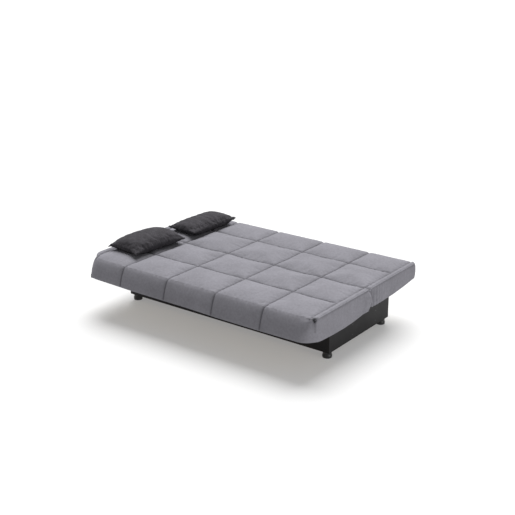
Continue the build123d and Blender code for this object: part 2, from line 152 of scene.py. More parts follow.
def cloth_material(name, dark, light, thread, weave_depth, mottle_scale, sheen, tint, crease=0.0):
    """Cloth from dark to light; thread and weave_depth in metres, mottle_scale 1 over the patches' size."""
    material, tree, shader, where = new_material(name)
    mottle = add(tree, "ShaderNodeTexNoise", {"Vector": where, "Scale": mottle_scale, "Detail": 5.0,
                                              "Roughness": 0.6})
    nap = add(tree, "ShaderNodeTexNoise", {"Vector": where, "Scale": mottle_scale * NAP_FINENESS,
                                           "Detail": 3.0})
    mixed = add(tree, "ShaderNodeMath", {0: mottle.outputs["Fac"], 1: nap.outputs["Fac"]}, operation="ADD")
    half = add(tree, "ShaderNodeMath", {0: mixed.outputs[0], 1: 0.5}, operation="MULTIPLY")
    tone = add(tree, "ShaderNodeValToRGB", {"Fac": half.outputs[0]}, stops=((0.3, dark), (0.7, light)))
    tone = tone.outputs["Color"]
    # Painted shade: a point attribute on the piece darkens the colour here, by this fraction where it is 1 and
    # more where it is more.
    if crease:
        shade_attribute = add(tree, "ShaderNodeAttribute", attribute_name="crease")
        value = add(tree, "ShaderNodeMapRange", {"Value": shade_attribute.outputs["Fac"], "To Min": 1.0,
                                                 "To Max": 1 - crease}, clamp=False)
        tone = add(tree, "ShaderNodeHueSaturation", {"Color": tone, "Value": value.outputs["Result"]})
        tone = tone.outputs["Color"]
    tree.links.new(tone, shader.inputs["Base Color"])
    waves = []
    wave_scale = 1 / (math.pi * thread)      # at scale 1 the bands are about 1 / pi metres apart
    for direction in ("X", "Y", "Z"):
        wave = add(tree, "ShaderNodeTexWave", {"Vector": where, "Scale": wave_scale, "Distortion": 0.6,
                                               "Detail": 1.0, "Detail Scale": 2.0},
                   wave_type="BANDS", bands_direction=direction)
        waves.append(wave.outputs["Fac"])
    pair = add(tree, "ShaderNodeMath", {0: waves[0], 1: waves[1]}, operation="MAXIMUM")
    weave = add(tree, "ShaderNodeMath", {0: pair.outputs[0], 1: waves[2]}, operation="MAXIMUM")
    rough = add(tree, "ShaderNodeMapRange", {"Value": weave.outputs[0], "To Min": 1.0, "To Max": 0.9})
    tree.links.new(rough.outputs["Result"], shader.inputs["Roughness"])
    fine = add(tree, "ShaderNodeBump", {"Height": weave.outputs[0], "Distance": weave_depth, "Strength": 0.5})
    soft = add(tree, "ShaderNodeBump", {"Height": nap.outputs["Fac"], "Distance": weave_depth * 4,
                                        "Strength": 0.35, "Normal": fine.outputs["Normal"]})
    tree.links.new(soft.outputs["Normal"], shader.inputs["Normal"])
    shader.inputs["Sheen Weight"].default_value = sheen
    shader.inputs["Sheen Roughness"].default_value = 0.45
    shader.inputs["Sheen Tint"].default_value = colour(tint)
    shader.inputs["Specular IOR Level"].default_value = 0.08
    return material


microfibre = cloth_material("brushed_polyester_microfibre", "6b6a6f", "7b7a80", THREAD, 0.0002, 5.0, 0.05,
                            "e4e2ea", crease=0.5)
cushion_cloth = cloth_material("charcoal_chenille_weave", "222123", "464448", 0.0040, 0.0009, 26.0, 0.15,
                               "8d8b92")
thread = cloth_material("polyester_sewing_thread", "5d5b61", "69676d", 0.0008, 0.0001, 40.0, 0.2, "c8c6ce")
print("cloth materials", microfibre.name, cushion_cloth.name, thread.name)

# %% [markdown]
# ## Foam, boards, wood, plastics and steels
# Foam is open-celled and slightly yellow. The chest is chipboard faced with black melamine, whose moulded
# texture breaks up the reflections a little. The slats are bent beech, clear lacquered, with grain that
# runs along Y. The frame is powder-coated, so it has a fine orange peel. Fasteners are zinc plated, and
# blackened where they show on the chest. A pattern's scale is 1 over its real size in metres, so a bump
# scale of 1400 is a grain of 0.7 mm.

# %% Hard materials


def plain_material(name, base, rough, bump_scale, bump_depth, metallic=0.0, coat=0.0, spread=0.12):
    """A moulded, coated or plated surface: one colour with slight variation, and its surface texture."""
    material, tree, shader, where = new_material(name)
    noise = add(tree, "ShaderNodeTexNoise", {"Vector": where, "Scale": 9.0, "Detail": 6.0})
    hsv = add(tree, "ShaderNodeHueSaturation", {"Color": colour(base)})
    value = add(tree, "ShaderNodeMapRange", {"Value": noise.outputs["Fac"], "To Min": 1 - spread,
                                             "To Max": 1 + spread})
    tree.links.new(value.outputs["Result"], hsv.inputs["Value"])
    tree.links.new(hsv.outputs["Color"], shader.inputs["Base Color"])
    rub = add(tree, "ShaderNodeMapRange", {"Value": noise.outputs["Fac"], "To Min": rough - 0.06,
                                           "To Max": rough + 0.08})
    tree.links.new(rub.outputs["Result"], shader.inputs["Roughness"])
    grain = add(tree, "ShaderNodeTexNoise", {"Vector": where, "Scale": bump_scale, "Detail": 2.0})
    bump = add(tree, "ShaderNodeBump", {"Height": grain.outputs["Fac"], "Distance": bump_depth,
                                        "Strength": 0.4})
    tree.links.new(bump.outputs["Normal"], shader.inputs["Normal"])
    shader.inputs["Metallic"].default_value = metallic
    shader.inputs["Coat Weight"].default_value = coat
    return material


def wood_material(name, dark, light, rough, squeeze):
    """Wood with its grain drawn out along Y; squeeze is 1 over the width of its figure in metres."""
    material, tree, shader, where = new_material(name)
    stretch = add(tree, "ShaderNodeMapping", {"Vector": where, "Scale": (squeeze, 1.6, squeeze)})
    rings = add(tree, "ShaderNodeTexNoise", {"Vector": stretch.outputs["Vector"], "Scale": 1.0, "Detail": 8.0,
                                             "Distortion": 0.4})
    pores = add(tree, "ShaderNodeTexNoise", {"Vector": stretch.outputs["Vector"], "Scale": 7.0,
                                             "Detail": 3.0})
    both = add(tree, "ShaderNodeMix", {"Factor": 0.3, "A": rings.outputs["Fac"], "B": pores.outputs["Fac"]})
    tone = add(tree, "ShaderNodeValToRGB", {"Fac": both.outputs["Result"]},
               stops=((0.35, dark), (0.65, light)))
    tree.links.new(tone.outputs["Color"], shader.inputs["Base Color"])
    bump = add(tree, "ShaderNodeBump", {"Height": pores.outputs["Fac"], "Distance": 0.0004, "Strength": 0.4})
    tree.links.new(bump.outputs["Normal"], shader.inputs["Normal"])
    shader.inputs["Roughness"].default_value = rough
    return material


def foam_material():
    """Cut foam: cells drawn 2.5 mm wide, and a faint unevenness of colour."""
    material, tree, shader, where = new_material("open_cell_polyurethane_foam")
    cells = add(tree, "ShaderNodeTexVoronoi", {"Vector": where, "Scale": 400.0})
    patches = add(tree, "ShaderNodeTexNoise", {"Vector": where, "Scale": 12.0, "Detail": 4.0})
    tone = add(tree, "ShaderNodeValToRGB", {"Fac": patches.outputs["Fac"]},
               stops=((0.3, "d9cb96"), (0.7, "efe6c2")))
    tree.links.new(tone.outputs["Color"], shader.inputs["Base Color"])
    bump = add(tree, "ShaderNodeBump", {"Height": cells.outputs["Distance"], "Distance": 0.001,
                                        "Strength": 0.7})
    tree.links.new(bump.outputs["Normal"], shader.inputs["Normal"])
    shader.inputs["Roughness"].default_value = 0.95
    return material


materials = {
    "melamine_board": plain_material("black_melamine_faced_chipboard", "141314", 0.5, 1400.0, 0.0002),
    "pine_block": wood_material("planed_pine", "b08a55", "d9ba85", 0.6, 60.0),
    "hardboard": plain_material("pressed_hardboard", "5e452f", 0.7, 500.0, 0.0003, spread=0.2),
    "zinc_plated_steel": plain_material("zinc_plated_steel", "b9bcc0", 0.34, 900.0, 0.0001, metallic=1.0),
    "blackened_steel": plain_material("blackened_screw_steel", "1c1c1e", 0.45, 900.0, 0.0001),
    "foot_plastic": plain_material("moulded_black_polypropylene", "141414", 0.38, 1200.0, 0.0002),
    "powder_coated_steel": plain_material("powder_coated_steel", "26272a", 0.4, 700.0, 0.0002, coat=0.2),
    "nylon": plain_material("natural_nylon", "e4e0d4", 0.45, 900.0, 0.0001, spread=0.05),
    "beech_slat": wood_material("lacquered_beech", "b98a58", "d8b283", 0.38, 90.0),
    "holder_plastic": plain_material("moulded_black_polypropylene_holder", "202022", 0.5, 900.0, 0.0002),
    "foam": foam_material(),
    "quilted_grey_fabric": microfibre,
    "charcoal_cushion_fabric": cushion_cloth,
}
board_shader = materials["melamine_board"].node_tree.nodes["Principled BSDF"]
board_shader.inputs["Specular IOR Level"].default_value = 0.2
slot_of = {part["node"]: part["material_slot"] for part in frame["record"]["subparts"]}
for name, cad_node in frame["nodes"].items():
    cad_node.data.materials.clear()
    cad_node.data.materials.append(materials[slot_of[name]])
print(len(slot_of), "CAD nodes have their finish")

# %% [markdown]
# ## Mesh helpers
# A finished piece is a mesh object at the origin, with its place in its vertices. Smooth shading suits
# cloth and turned parts. The cloth solver is used as a pump: gravity is off, a little pressure blows the
# cloth up between its pinned points, and we only keep the points where it ends.

# %% Mesh helpers
CLOTH_STIFFNESS = 12.0


def make_object(name, points, faces, material, smooth=True):
    """A mesh object at the origin from points and faces."""
    mesh = bpy.data.meshes.new(name)
    mesh.from_pydata([tuple(p) for p in points], [], [tuple(f) for f in faces])
    mesh.materials.append(material)
    mesh.polygons.foreach_set("use_smooth", [smooth] * len(mesh.polygons))
    mesh.update()
    obj = bpy.data.objects.new(name, mesh)
    bpy.context.scene.collection.objects.link(obj)
    return obj


def bake(obj):
    """Replaces the object's mesh by its evaluated one and drops its modifiers."""
    graph = bpy.context.evaluated_depsgraph_get()
    mesh = bpy.data.meshes.new_from_object(obj.evaluated_get(graph))
    obj.modifiers.clear()
    obj.data = mesh
    return obj


def read_points(obj):
    """The object's vertices as an array with a row for each."""
    flat = np.empty(len(obj.data.vertices) * 3)
    obj.data.vertices.foreach_get("co", flat)
    return flat.reshape(-1, 3)


def run_cloth(obj, frames, pressure, pinned, grow, bending=0.3):
    """Blows the cloth up between its pinned points; returns the points it ends at."""
    group = obj.vertex_groups.new(name="pin")
    group.add([int(i) for i in pinned], 1.0, "REPLACE")
    cloth = obj.modifiers.new("Cloth", "CLOTH")
    settings = cloth.settings
    settings.quality = 4
    settings.mass = 0.25
    settings.tension_stiffness = CLOTH_STIFFNESS
    settings.compression_stiffness = CLOTH_STIFFNESS
    settings.shear_stiffness = CLOTH_STIFFNESS / 2
    settings.bending_stiffness = bending
    settings.use_pressure = True
    settings.uniform_pressure_force = pressure
    settings.shrink_min = -grow
    settings.shrink_max = -grow
    settings.effector_weights.gravity = 0.0
    settings.vertex_group_mass = "pin"
    cloth.collision_settings.use_collision = False
    cloth.collision_settings.use_self_collision = False
    cloth.point_cache.frame_start = 1
    cloth.point_cache.frame_end = frames
    scene = bpy.context.scene
    scene.frame_start = 1
    scene.frame_end = frames
    for number in range(1, frames + 1):
        scene.frame_set(number)
    graph = bpy.context.evaluated_depsgraph_get()
    moved = read_points(obj.evaluated_get(graph))
    obj.modifiers.clear()
    obj.vertex_groups.clear()
    scene.frame_set(1)
    return moved


def tidy_normals(obj):
    """Turns every face outwards."""
    mesh = bmesh.new()
    mesh.from_mesh(obj.data)
    bmesh.ops.recalc_face_normals(mesh, faces=mesh.faces)
    mesh.to_mesh(obj.data)
    mesh.free()


print("mesh helpers ready")

# %% [markdown]
# ## The shape of a mattress half
# A half is one grid of cloth: a top panel, and a skirt that runs down its two ends and its outer edge.
# Grid lines fall exactly on the seams, so a seam is a row of points that can be pinned while the cells
# between puff up. The same builder makes both halves; `side` is +1 for the seat, whose outer edge faces
# the front, and -1 for the back. Corner radii are pairs, for the left and the right corner, at the top of the
# skirt and at its hem.

# %% Grid lines
GRID = 0.0078
SEAM_LINES = (0.0022, 0.0052, 0.0096)
TOP_CORNER = {"seat": (0.130, 0.024), "back": (0.030, 0.016)}
HEM_CORNER = {"seat": (0.118, 0.090), "back": (0.045, 0.034)}
TOP_INSET = 0.008
SEAM_DEPTH = 0.008
CHANNEL_WIDTH = 0.010
CREASE_WIDTH = 0.0055
FOLD_DIP = (0.004, 0.014)
STRIP_RISE = 0.006
STRIP_DROP = 0.003
SHOULDER = 0.05
SHOULDER_DROP = 0.004
STRIP = 0.036
NOSE = 0.060
NOSE_RISE = 0.040
NOSE_SWELL = 0.030
SKIRT_ROWS = 20
HEM_ROWS = 5
HEM_R = 0.007
FRONT_LEAN = {"seat": 0.056, "back": 0.010}
END_LEAN = 0.008
LEAN_CURVE = 0.62


def grid_line(stops):
    """Lines between stops, closer together beside each stop, and the index of each stop."""
    values = [stops[0]]
    marks = [0]
    for low, high in zip(stops, stops[1:]):
        near = [low + gap for gap in SEAM_LINES]
        far = [high - gap for gap in reversed(SEAM_LINES)]
        count = max(2, round((far[0] - near[-1]) / GRID))
        values += near + list(np.linspace(near[-1], far[0], count + 1)[1:-1]) + far + [high]
        marks.append(len(values) - 1)
    return np.array(values), marks


def radius_at(x, radii):
    """The corner radius that holds at x, from a left and right pair."""
    return np.where(x < 0, radii[0], radii[1])


def round_corner(x, t, radius):
    """Moves grid points near the two outer corners so that the outline turns through a round corner."""
    u = np.clip((np.abs(x) - (HALF_X - radius)) / radius, 0, 1)
    v = np.clip((radius - t) / radius, 0, 1)
    inside_x = np.sign(x) * (HALF_X - radius + radius * u * np.sqrt(1 - v * v / 2))
    inside_t = radius - radius * v * np.sqrt(1 - u * u / 2)
    near = (u > 0) & (v > 0)
    return np.where(near, inside_x, x), np.where(near, inside_t, t)


def rim_normal(x, t, side, radius):
    """Outward direction in plan of points on the rim."""
    cx = np.clip(x, -(HALF_X - radius), HALF_X - radius)
    away = np.stack([x - cx, (t - np.maximum(t, radius)) * side], -1)
    return away / np.linalg.norm(away, axis=-1)[..., None]


def hem_height(x, y):
    """Height of the lower edge of the skirt: along the front by x, along the ends by y."""
    front = np.interp(x, (-0.95, -0.75, -0.50, 0.0, 0.25, 0.60, 0.95),
                      (0.272, 0.268, 0.262, 0.260, 0.254, 0.253, 0.257))
    end = np.interp(y, (-0.66, -0.60, -0.52, -0.40, -0.27, -0.17, -0.09, -0.02, FOLD_Y, 0.14, 0.33,
                        0.48, 0.66),
                    (0.253, 0.252, 0.244, 0.238, 0.237, 0.241, 0.249, 0.260, 0.267, 0.266, 0.269,
                     0.280, 0.300))
    share = np.clip((y + 0.66) / 0.10, 0, 1)
    return np.where(y < 0, front * (1 - share) + end * share, end)


def channel(distance, width):
    """A smooth dip, 1 at no distance and almost 0 at twice the width."""
    return np.exp(-(distance / width) ** 2)


print("grid step", GRID)

# %% [markdown]
# The skirt leans outwards at the front, where the real one bulges over the frame, and hardly at all at
# the ends. Most of that lean comes in its upper part, which makes the front full and round. All its corners
# but the left front one grow rounder towards the hem, and the hem turns under and back, so the cloth has a
# rounded lower edge. Beside the fold the seat's skirt rolls out and then tucks in, which gives its end a
# rounded nose.

# %% One half as a grid


def half_grid(name, side):
    """Points, faces, pinned points and the place of every point on one half's cloth."""
    outer = FRONT_SEAM_Y if side > 0 else REAR_EDGE_Y
    seam = SEAT_SEAM_Y if side > 0 else BACK_SEAM_Y
    depth = abs(FOLD_Y - outer)
    xs, x_marks = grid_line((-HALF_X, STRIP - HALF_X, *CROSS_SEAMS, HALF_X - STRIP, HALF_X))
    cross, strips = x_marks[2:-2], (x_marks[1], x_marks[-2])
    ts, t_marks = grid_line((0.0, abs(seam - outer), depth))
    nx, nt = len(xs), len(ts)
    gx, gt = np.meshgrid(xs, ts, indexing="ij")
    px, pt = round_corner(gx, gt, radius_at(gx, TOP_CORNER[name]))
    end_gap = HALF_X - np.abs(gx)
    z = TOP_Z - TOP_INSET - SHOULDER_DROP * np.clip(1 - gt / SHOULDER, 0, 1) ** 2
    across = end_gap / STRIP
    z += np.where(across < 1, STRIP_RISE * np.sin(np.pi * across) - STRIP_DROP * (1 - across), 0)
    cross_gap = np.min([np.abs(gx - xs[m]) for m in cross], axis=0)
    long_gap = np.abs(gt - ts[t_marks[1]]) + 0.02 * (end_gap < STRIP - 0.001)
    strip_gap = np.abs(end_gap - STRIP)
    seam_gaps = (cross_gap, long_gap, gt - depth)
    z -= SEAM_DEPTH * np.max([channel(seam_gap, CHANNEL_WIDTH) for seam_gap in seam_gaps]
                             + [0.7 * channel(strip_gap, 0.007)], axis=0)
    z -= FOLD_DIP[0] * channel(gt - depth, FOLD_DIP[1])
    # Painted shade for the colour: strongest in the seam channels, less in the end strip's groove, at the very
    # ends of the top and along its outer rim.
    crease = np.max([channel(seam_gap, CREASE_WIDTH) for seam_gap in seam_gaps]
                    + [0.6 * channel(strip_gap, CREASE_WIDTH), 0.5 * channel(end_gap, 0.004),
                       0.3 * channel(gt, 0.004)], axis=0)
    top = np.stack([px, outer + side * pt, z], -1)
    ids = np.arange(nx * nt).reshape(nx, nt)
    faces = [(ids[i, j], ids[i + 1, j], ids[i + 1, j + 1], ids[i, j + 1]) for i in range(nx - 1)
             for j in range(nt - 1)]
    rim = np.array([(0, j) for j in range(nt - 1, 0, -1)] + [(i, 0) for i in range(nx)]
                   + [(nx - 1, j) for j in range(1, nt)])
    rim_ids = ids[rim[:, 0], rim[:, 1]]
    place = {"x": xs[rim[:, 0]], "t": ts[rim[:, 1]], "z": z[rim[:, 0], rim[:, 1]], "outer": outer,
             "side": side, "name": name, "depth": depth}
    skirt, normal, level = skirt_points(place)
    rows = skirt.shape[1]
    row_id = nx * nt + np.arange(len(rim) * rows).reshape(len(rim), rows)
    column = np.concatenate([rim_ids[:, None], row_id], 1)
    for c in range(len(rim) - 1):
        for k in range(rows):
            faces.append((column[c, k], column[c, k + 1], column[c + 1, k + 1], column[c + 1, k]))
    if side < 0:
        faces = [f[::-1] for f in faces]
    seams = [list(ids[m, :]) for m in cross] + [list(ids[x_marks[1]:x_marks[-2] + 1, t_marks[1]])]
    seams += [list(ids[m, :]) for m in strips]
    drops = [list(column[nt - 1 + m, :SKIRT_ROWS + 1]) for m in cross]
    edges = [ids[0, :], ids[-1, :], ids[:, 0], ids[:, t_marks[2]], column[0], column[-1]]
    pinned = set(np.concatenate(seams + drops + edges + [column[:, SKIRT_ROWS:].ravel()]))
    gap = np.min([np.abs(place["x"] - xs[m]) for m in cross], axis=0)[:, None] + 0 * level
    is_front = np.abs(normal[:, 0, 1]) > 0.7
    # Painted shade on the skirt: beside the front's vertical seams above the hem, and along the top of the end
    # bands.
    skirt_crease = np.where(is_front[:, None], channel(gap, 0.006), 0.0) * (level < 1.0)
    skirt_crease = np.maximum(skirt_crease, np.where(is_front[:, None], 0.0, channel(level, 0.04)))
    return {"points": np.concatenate([top.reshape(-1, 3), skirt.reshape(-1, 3)]), "faces": faces,
            "pinned": sorted(pinned), "seams": seams, "drops": drops, "outer": outer, "column": column,
            "ends": (list(ids[0, :]), list(ids[-1, :])), "normal": normal, "level": level, "gap": gap,
            "crease": np.concatenate([crease.ravel(), skirt_crease.ravel()]), "front": is_front,
            "top_count": nx * nt, "side": side}


def skirt_points(place):
    """Rows of points down the skirt to the turned-under hem, their outward directions and levels 0 to 1."""
    side, name = place["side"], place["name"]
    rows, normals, levels = [], [], []
    for k in range(1, SKIRT_ROWS + 1):
        v = k / SKIRT_ROWS
        top_r, hem_r = (radius_at(place["x"], radii[name]) for radii in (TOP_CORNER, HEM_CORNER))
        radius = top_r + (hem_r - top_r) * v ** 0.8
        px, pt = round_corner(place["x"], place["t"], radius)
        normal = rim_normal(px, pt, side, radius)
        front = normal[:, 1] ** 2
        lean = FRONT_LEAN[name] * front + END_LEAN * (1 - front)
        near_fold = np.abs(place["depth"] - pt)
        tuck = 0.030 * channel(near_fold, 0.010) + (0.0 if side > 0 else 0.012 * channel(near_fold, 0.045))
        roll = 0.013 * channel(near_fold - 0.036, 0.032) if side > 0 else 0.0
        out = lean * v ** LEAN_CURVE + (roll - tuck) * (1 - front) * min(1.0, 3 * v)
        spot = np.column_stack([px, place["outer"] + side * pt]) + normal * out[:, None]
        nose = np.clip(1 - near_fold / NOSE, 0, 1) if side > 0 else 0 * near_fold
        spot[:, 1] += NOSE_SWELL * math.sin(math.pi * v) * nose * (1 - front)
        rise = NOSE_RISE * (1 - np.sqrt(1 - nose ** 2)) * (1 - front)
        low = hem_height(spot[:, 0], spot[:, 1]) + HEM_R + rise
        rows.append(np.column_stack([spot, place["z"] + (low - place["z"]) * v]))
        normals.append(normal)
        levels.append(np.full(len(px), v))
    last, normal = rows[-1], normals[-1]
    for k in range(1, HEM_ROWS + 1):
        turn = math.pi * k / HEM_ROWS
        inward = HEM_R * (1 - math.cos(turn))
        rows.append(np.column_stack([last[:, :2] - normal * inward, last[:, 2] - HEM_R * math.sin(turn)]))
        normals.append(normal)
        levels.append(np.full(len(last), 1.0))
    final = rows[-1]
    rows.append(np.column_stack([final[:, :2] - normal * 0.004, final[:, 2] + 0.012]))
    normals.append(normal)
    levels.append(np.full(len(last), 1.0))
    return np.stack(rows, 1), np.stack(normals, 1), np.stack(levels, 1)


halves = {"seat": half_grid("seat", 1), "back": half_grid("back", -1)}
for name, half in halves.items():
    print(name, len(half["points"]), "points", len(half["pinned"]), "pinned")

# %% [markdown]
# ## Puffing the cells
# Cloth simulation with a little pressure blows the grid up between its pinned seams, as wadding does, and
# because the cloth is cut slightly too large it wrinkles along the seams. How far it moves is then scaled and
# capped, so that the cells of the top crown by 16 to 20 mm, most of the skirt wrinkles by under 3 mm, and no
# point runs away. The broad bulge of the skirt between two seams is added by formula, so that it is even.

# %% Puff
TOP_CROWN = 0.020
TOP_CAP = 0.024
SKIRT_PUFF = {"front": 0.009, "end": 0.003}
SKIRT_WRINKLE = 0.0026
QUILT_PRESSURE = 2.5
QUILT_GROWTH = 0.012
CLOTH_FRAMES = 16
rng = np.random.default_rng(7)


def capped(shift, limit):
    """The shift, bent over smoothly so that it never passes its limit."""
    length = np.maximum(np.linalg.norm(shift, axis=1), 1e-9)
    return shift * (limit * np.tanh(length / limit) / length)[:, None]


def puff(name, half):
    """One half's cloth as an object, puffed between its seams."""
    obj = make_object(name + "_quilt", half["points"], half["faces"], microfibre)
    base = half["points"]
    top = half["top_count"]
    shift = np.zeros_like(base)
    jitter = rng.normal(0, 0.0004, base.shape)
    jitter[half["pinned"]] = 0
    obj.data.vertices.foreach_set("co", (base + jitter).ravel())
    obj.data.update()
    shift = run_cloth(obj, CLOTH_FRAMES, QUILT_PRESSURE, half["pinned"], QUILT_GROWTH) - base
    top_scale = TOP_CROWN / np.percentile(np.linalg.norm(shift[:top], axis=1), 92)
    skirt_scale = SKIRT_WRINKLE / np.percentile(np.linalg.norm(shift[top:], axis=1), 92)
    shift[:top] = capped(shift[:top] * top_scale, TOP_CAP)
    shift[top:] = capped(shift[top:] * skirt_scale, 2 * SKIRT_WRINKLE)
    print(name, "crown", round(float(shift[:top, 2].max()), 4))
    bulge = np.sin(np.pi * np.clip(half["level"], 0, 1)) ** 0.7
    facing = half["normal"][:, :, 1] ** 2
    between = np.where(half["front"][:, None],
                       SKIRT_PUFF["front"] * (1 - np.exp(-half["gap"] / 0.028)) * facing, SKIRT_PUFF["end"])
    outward = np.concatenate([half["normal"], np.zeros((*half["level"].shape, 1))], -1)
    shift[top:] += (outward * (bulge * between)[..., None]).reshape(-1, 3)
    obj.data.vertices.foreach_set("co", (base + shift).ravel())
    obj.data.update()
    return obj


quilts = {name: puff(name, half) for name, half in halves.items()}

# %% [markdown]
# ## Pinched corners
# At the right front corner the machinist turns the seam through a right angle, and the spare cloth is
# caught in a small knot with folds running out of it. The other three corners have smaller ones. The points
# around each corner are drawn in, and short radial folds fade away from it. The knot and the edge beside it
# are darkened in the colour as painted shade. Each row below is a half, an end, a depth and a reach.

# %% Pinches
PINCHES = (("seat", 1, 0.016, 0.060), ("seat", -1, 0.005, 0.045),
           ("back", 1, 0.006, 0.040), ("back", -1, 0.006, 0.040))
KNOT = 0.013


def pinch(name, end, depth, reach):
    """Draws the corner at the outer edge in by depth, with folds as far as reach."""
    half = halves[name]
    obj = quilts[name]
    points = read_points(obj)
    near_end = np.sign(half["points"][:, 0]) == end
    rim = half["ends"][1 if end > 0 else 0][0]
    corner = points[rim].copy()
    offset = points - corner
    gap = np.linalg.norm(offset, axis=1)
    side = half["side"]
    around = np.arctan2(offset[:, 1] * side, -offset[:, 0] * end) + 0.8 * offset[:, 2] / np.maximum(gap, 1e-6)
    fold = np.sin(7 * around + 0.9) * np.exp(-(gap / reach) ** 2) * np.minimum(1, gap / 0.012)
    away = np.array([end, -side, 1.2]) / 1.85
    along = np.abs(offset[:, 0]) + 8 * np.abs(offset[:, 1] + side * 0.004 * np.sin(offset[:, 0] / 0.007))
    # Painted shade: dark is added to the colour's shade at the knot and along the edge running out of it; at the
    # right front corner it reaches black at the centre.
    dark = 90 * depth * np.exp(-(gap / 0.014) ** 2)
    dark += 50 * depth * np.exp(-along / reach) * (gap < 1.3 * reach)
    points += np.where(near_end, depth * 0.28 * fold - depth * np.exp(-(gap / KNOT) ** 2), 0)[:, None] * away
    obj.data.vertices.foreach_set("co", points.ravel())
    obj.data.update()
    half["crease"] = np.maximum(half["crease"], np.where(near_end, dark, 0))


for name, end, depth, reach in PINCHES:
    pinch(name, end, depth, reach)
print("corners pinched")

# %% [markdown]
# ## Gathers beside the fold
# At both ends the skirt of the back is gathered where it meets the seat's rounded end, and the seat has
# shallower gathers there. They are tapering pleats at a known place, so a formula makes them: two waves along
# Y that fade away from the fold and towards the top. The valleys of the back's pleats and a narrow band beside
# the fold on both halves are darkened in the colour as painted shade.

# %% Gathers
GATHER_REACH = {"seat": 0.06, "back": 0.12}
GATHER_DEPTH = {"seat": 0.003, "back": 0.0065}
PLEAT_WIDTHS = (0.031, 0.019)


def gather(name):
    """Pleats in the two ends of a half's skirt, deepest beside the fold."""
    obj = quilts[name]
    half = halves[name]
    points = read_points(obj)
    column = half["column"]
    normal = half["normal"]
    reach = GATHER_REACH[name]
    wide, narrow = (2 * math.pi / width for width in PLEAT_WIDTHS)
    for c in range(len(column)):
        along = abs(points[column[c, 0], 1] - FOLD_Y)
        if along > 2.2 * reach or abs(normal[c, 0, 0]) < 0.9:
            continue
        fade = math.exp(-(along / reach) ** 2) * min(1.0, along / 0.012)
        for k in range(1, SKIRT_ROWS + HEM_ROWS + 1):
            v = min(1.0, k / SKIRT_ROWS)
            lean = along + 0.016 * v * math.sin(4 * v) + 0.010 * v
            pleat = math.sin(wide * lean) + 0.5 * math.sin(narrow * lean + 1.3)
            amount = fade * math.sin(math.pi * min(1.0, v * 0.85)) ** 0.6
            points[column[c, k], 0] += normal[c, 0, 0] * GATHER_DEPTH[name] * amount * pleat
            # Painted shade in the colour along the valleys of the back's pleats.
            if name == "back":
                shade = 0.7 * amount * max(0.0, -pleat)
                half["crease"][column[c, k]] = max(half["crease"][column[c, k]], shade)
        # Painted shade in the colour along a narrow band beside the fold, on both halves.
        for k in range(SKIRT_ROWS):
            shade = 1.1 * math.exp(-(along / 0.010) ** 2)
            half["crease"][column[c, k]] = max(half["crease"][column[c, k]], shade)
    obj.data.vertices.foreach_set("co", points.ravel())
    obj.data.update()


gather("seat")
gather("back")
print("gathers done")

# %% [markdown]
# ## Thickness
# The quilt is about 4 mm of cloth and wadding. Solidify gives it an inner face and closes its hem, so
# that it looks right from below when the seat is lifted.

# %% Thickness
QUILT_THICK = 0.004
piping_paths = {name: read_points(obj) for name, obj in quilts.items()}
# The painted shade of each point is stored as a point attribute that the microfibre's colour reads.
for name, obj in quilts.items():
    shade_attribute = obj.data.attributes.new("crease", "FLOAT", "POINT")
    shade_attribute.data.foreach_set("value", halves[name]["crease"])
for name, obj in quilts.items():
    solid = obj.modifiers.new("Thickness", "SOLIDIFY")
    solid.thickness = QUILT_THICK
    solid.offset = -1.0
    bake(obj)
    obj.data.name = obj.name
    print(obj.name, len(obj.data.polygons), "faces")

# %% [markdown]
# ## Stitches
# Every seam is a row of lock stitches, 5 mm long with a small gap. They repeat along a path, so Geometry
# Nodes suit them: the tree walks each seam line, places a short six-sided rod at every step and turns it
# along the seam.

# %% Stitch tree
STITCH = {"Pitch": 0.0065, "Length": 0.0048, "Radius": 0.0009}


def stitch_tree():
    """The node tree, with the sizes of a stitch as its inputs."""
    tree = bpy.data.node_groups.new("seam_stitches", "GeometryNodeTree")
    tree.interface.new_socket("Geometry", in_out="INPUT", socket_type="NodeSocketGeometry")
    for label in STITCH:
        tree.interface.new_socket(label, in_out="INPUT", socket_type="NodeSocketFloat")
    tree.interface.new_socket("Geometry", in_out="OUTPUT", socket_type="NodeSocketGeometry")
    given = add(tree, "NodeGroupInput").outputs
    curve = add(tree, "GeometryNodeMeshToCurve", {"Mesh": given["Geometry"]})
    spaced = add(tree, "GeometryNodeResampleCurve", {"Curve": curve.outputs["Curve"],
                                                     "Length": given["Pitch"]}, mode="LENGTH")
    tangent = add(tree, "GeometryNodeInputTangent")
    turned = add(tree, "FunctionNodeAlignRotationToVector", {"Vector": tangent.outputs["Tangent"]}, axis="Z")
    rod = add(tree, "GeometryNodeMeshCylinder", {"Vertices": 6, "Radius": given["Radius"],
                                                 "Depth": given["Length"]})
    placed = add(tree, "GeometryNodeInstanceOnPoints", {"Points": spaced.outputs["Curve"],
                                                        "Instance": rod.outputs["Mesh"],
                                                        "Rotation": turned.outputs["Rotation"]})
    real = add(tree, "GeometryNodeRealizeInstances", {"Geometry": placed.outputs["Instances"]})
    finish = add(tree, "GeometryNodeSetMaterial", {"Geometry": real.outputs["Geometry"], "Material": thread})
    add(tree, "NodeGroupOutput", {"Geometry": finish.outputs["Geometry"]})
    return tree


stitches = stitch_tree()
print("stitch tree has", len(stitches.nodes), "nodes")

# %% [markdown]
# ## Sewing
# The seam lines are already rows of points in the two halves. They become a mesh of edges only, the tree
# turns that into stitches, and the result is made a plain mesh. The modifier's inputs are set by their
# sockets' identifiers.

# %% Sew the seams


